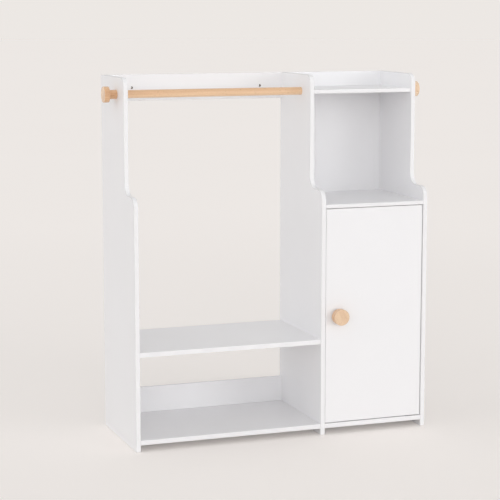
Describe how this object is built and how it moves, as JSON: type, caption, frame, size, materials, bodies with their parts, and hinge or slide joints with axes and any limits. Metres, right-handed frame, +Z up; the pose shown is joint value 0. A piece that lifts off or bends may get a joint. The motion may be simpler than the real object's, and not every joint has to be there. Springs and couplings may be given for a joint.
{
  "type": "dressing-up storage unit",
  "caption": "White child's dressing-up unit: hanging bay with beech rail, bench and base beside a tower with niche and door-fronted cupboard, mirror inside the door.",
  "frame": {"origin": "on the floor, under the middle of the whole unit, with its side pegs and its door knob", "axes": "+X to the right as the user faces the unit, +Y towards the wall behind it, +Z up"},
  "size_m": [1.057, 0.387, 1.136],
  "materials": {
    "painted_board": "satin white paint on fibreboard",
    "beech": "clear satin lacquer on beech",
    "zinc_steel": "bright zinc plate",
    "white_nylon": "moulded, fine matt",
    "mirror": "mirrored acrylic with polished edges"
  },
  "bodies": {
    "carcass": {"left_side_panel": "painted_board", "centre_divider": "painted_board", "right_side_panel": "painted_board", "base_shelf": "painted_board", "bench_shelf": "painted_board", "upper_back_board": "painted_board", "lower_back_board": "painted_board", "cupboard_base": "painted_board", "inner_shelf": "painted_board", "cupboard_top": "painted_board", "top_shelf": "painted_board", "tower_back_panel": "painted_board", "hanging_rail": "beech", "left_peg": "beech", "left_peg_stud": "zinc_steel", "rail_end_screw": "zinc_steel", "right_peg": "beech", "right_peg_screw": "zinc_steel", "cam_bolts": "zinc_steel", "cam_locks": "zinc_steel", "wood_dowels": "beech", "back_panel_screws": "zinc_steel", "shelf_pins": "zinc_steel", "upper_pivot_plate": "zinc_steel", "upper_pivot_pin": "zinc_steel", "lower_pivot_plate": "zinc_steel", "lower_pivot_pin": "zinc_steel", "pivot_plate_screws": "zinc_steel", "catch_housing": "white_nylon", "catch_magnet": "zinc_steel", "catch_screws": "zinc_steel"},
    "door": {"door_panel": "painted_board", "door_knob": "beech", "knob_screw": "zinc_steel", "mirror_panel": "mirror", "mirror_clips": "white_nylon", "mirror_clip_screws": "zinc_steel", "strike_plate": "zinc_steel", "strike_screw": "zinc_steel", "upper_pivot_bush": "white_nylon", "lower_pivot_bush": "white_nylon"}
  },
  "joints": [
    {"name": "door_hinge", "type": "hinge", "parent": "carcass", "child": "door", "pos_m": [0.4475, -0.158, 0.3805], "axis": [0, 0, 1], "range_deg": [0, 110]}
  ]
}
